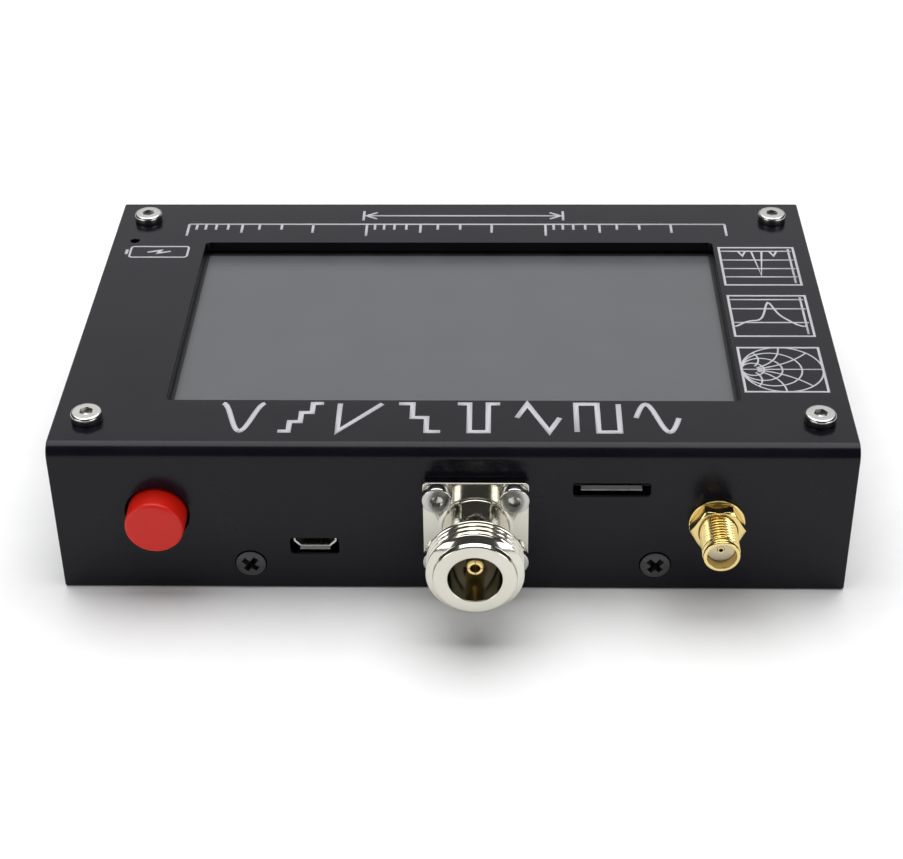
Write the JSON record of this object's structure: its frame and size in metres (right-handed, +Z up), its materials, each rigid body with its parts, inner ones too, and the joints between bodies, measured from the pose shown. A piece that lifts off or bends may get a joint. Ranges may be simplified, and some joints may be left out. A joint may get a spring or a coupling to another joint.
{
  "type": "handheld vector network analyzer",
  "caption": "Flat black sheet-metal box with a recessed screen, a flanged coaxial antenna jack, a small coaxial jack, data ports and a red push button.",
  "frame": {"origin": "centre of the case underside, the face it rests on", "axes": "+X to the right of the reader who looks at the screen, +Y towards the wall with the antenna jack, +Z up out of the screen"},
  "size_m": [0.133, 0.1025, 0.0306],
  "materials": {
    "case_black": "satin",
    "stainless": "polished",
    "black_steel": "satin",
    "red_plastic": "gloss",
    "black_plastic": "matte",
    "white_plastic": "satin",
    "nickel": "polished",
    "gold": "polished",
    "tinned": "satin",
    "brass": "satin",
    "screen": "gloss",
    "circuit_green": "satin",
    "circuit_black": "satin",
    "cell_foil": "satin",
    "red_wire": "satin",
    "black_wire": "satin"
  },
  "bodies": {
    "case": {"base_tray": "case_black", "battery_lead_black": "black_wire", "battery_lead_red": "red_wire", "battery_pack": "cell_foil", "board_header_left": "black_plastic", "board_header_right": "black_plastic", "board_screw_1": "stainless", "board_screw_2": "stainless", "board_screw_3": "stainless", "board_screw_4": "stainless", "card_socket_base": "black_plastic", "card_socket_shell": "tinned", "case_screw_1": "black_steel", "case_screw_2": "black_steel", "case_screw_3": "black_steel", "case_screw_4": "black_steel", "charge_board": "circuit_black", "charge_board_bracket": "black_plastic", "charge_light": "white_plastic", "corner_spacer_1": "brass", "corner_spacer_2": "brass", "corner_spacer_3": "brass", "corner_spacer_4": "brass", "cover_screw_1": "stainless", "cover_screw_2": "stainless", "cover_screw_3": "stainless", "cover_screw_4": "stainless", "display_board": "circuit_green", "display_panel": "tinned", "micro_usb_shell": "tinned", "micro_usb_tongue": "black_plastic", "mini_usb_shell": "tinned", "mini_usb_tongue": "black_plastic", "n_jack_body": "nickel", "n_jack_contact": "gold", "n_jack_insulator": "white_plastic", "n_jack_nut_1": "stainless", "n_jack_nut_2": "stainless", "n_jack_nut_3": "stainless", "n_jack_nut_4": "stainless", "n_jack_screw_1": "stainless", "n_jack_screw_2": "stainless", "n_jack_screw_3": "stainless", "n_jack_screw_4": "stainless", "processor_chip": "black_plastic", "radio_board": "circuit_green", "screen_glass": "screen", "shield_can": "tinned", "sma_jack_body": "gold", "sma_jack_contact": "gold", "sma_jack_insulator": "white_plastic", "sma_jack_nut": "gold", "sma_jack_washer": "gold", "switch_board": "circuit_green", "switch_housing": "black_plastic", "switch_spring": "stainless", "top_cover": "case_black"},
    "power_button": {"power_button_cap": "red_plastic", "switch_plunger": "white_plastic"}
  },
  "joints": [
    {"name": "power_press", "type": "slide", "parent": "case", "child": "power_button", "axis": [0, -1, 0], "range_m": [0, 0.0025], "stiffness_N_per_m": 500, "springref_m": -0.0015, "deforming": ["switch_spring"]}
  ]
}
